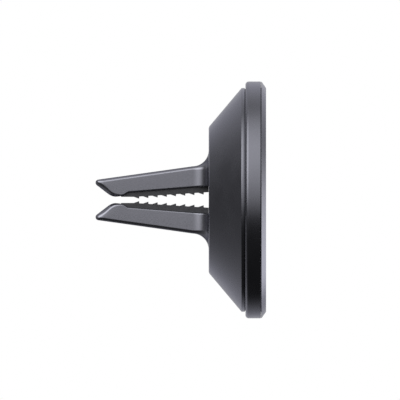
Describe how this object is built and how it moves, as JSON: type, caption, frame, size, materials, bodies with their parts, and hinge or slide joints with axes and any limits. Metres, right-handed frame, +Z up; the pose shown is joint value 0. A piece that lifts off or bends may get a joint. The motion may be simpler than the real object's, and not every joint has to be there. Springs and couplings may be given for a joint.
{
  "type": "car phone mount",
  "caption": "Magnetic car vent phone mount: round magnetic head with a conical back, turning on a spring clip whose two ribbed jaws grip a vent louvre.",
  "frame": {"origin": "centre of the flat front face that the phone rests on", "axes": "+X is the outward normal of the phone face, +Z is up across the gap between the two jaws, +Y is along a horizontal vent louvre; the jaws point along -X"},
  "size_m": [0.0418, 0.058, 0.058],
  "materials": {
    "graphite_plastic": "satin moulded graphite grey, fine grain, soft sheen",
    "soft_touch_pad": "matte soft-touch silicone skin",
    "grip_silicone": "matte silicone with a fine speckle",
    "seal_rubber": "matte black rubber",
    "magnet_plating": "nickel plated",
    "plain_steel": "stamped and drawn steel",
    "spring_steel": "drawn spring wire and strip",
    "black_screw": "black oxide",
    "acetal": "natural acetal, satin",
    "adhesive_tape": "thin double-sided tape"
  },
  "bodies": {
    "clip": {"clip_hub": "graphite_plastic", "jaw_pin_upper": "plain_steel", "jaw_pin_lower": "plain_steel", "jaw_spring_upper": "spring_steel", "jaw_spring_lower": "spring_steel"},
    "head": {"front_pad": "soft_touch_pad", "pad_tape": "adhesive_tape", "front_bezel": "graphite_plastic", "magnet_01": "magnet_plating", "magnet_02": "magnet_plating", "magnet_03": "magnet_plating", "magnet_04": "magnet_plating", "magnet_05": "magnet_plating", "magnet_06": "magnet_plating", "magnet_07": "magnet_plating", "magnet_08": "magnet_plating", "magnet_09": "magnet_plating", "magnet_10": "magnet_plating", "magnet_11": "magnet_plating", "magnet_12": "magnet_plating", "magnet_13": "magnet_plating", "magnet_14": "magnet_plating", "magnet_15": "magnet_plating", "magnet_16": "magnet_plating", "steel_backing_ring": "plain_steel", "head_frame": "graphite_plastic", "joint_seal": "seal_rubber", "rear_shell": "graphite_plastic", "retainer_plate": "plain_steel", "retainer_screw_1": "black_screw", "retainer_screw_2": "black_screw", "retainer_screw_3": "black_screw", "retainer_screw_4": "black_screw", "frame_screw_1": "black_screw", "frame_screw_2": "black_screw", "frame_screw_3": "black_screw", "frame_screw_4": "black_screw", "friction_washer": "acetal", "wave_washer": "spring_steel"},
    "jaw_upper_body": {"jaw_upper": "graphite_plastic", "grip_upper": "grip_silicone"},
    "jaw_lower_body": {"jaw_lower": "graphite_plastic", "grip_lower": "grip_silicone"}
  },
  "joints": [
    {"name": "head_swivel", "type": "hinge", "parent": "clip", "child": "head", "pos_m": [-0.0115, 0, 0], "axis": [1, 0, 0], "continuous": true},
    {"name": "jaw_upper_open", "type": "hinge", "parent": "clip", "child": "jaw_upper_body", "pos_m": [-0.01, 0, 0.0049], "axis": [0, 1, 0], "range_deg": [0, 5], "stiffness_Nm_per_rad": 1.15, "springref_deg": -4.98, "deforming": ["jaw_spring_upper"]},
    {"name": "jaw_lower_open", "type": "hinge", "parent": "clip", "child": "jaw_lower_body", "pos_m": [-0.01, 0, -0.0049], "axis": [0, -1, 0], "range_deg": [0, 5], "stiffness_Nm_per_rad": 1.15, "springref_deg": -4.98, "deforming": ["jaw_spring_lower"]}
  ]
}
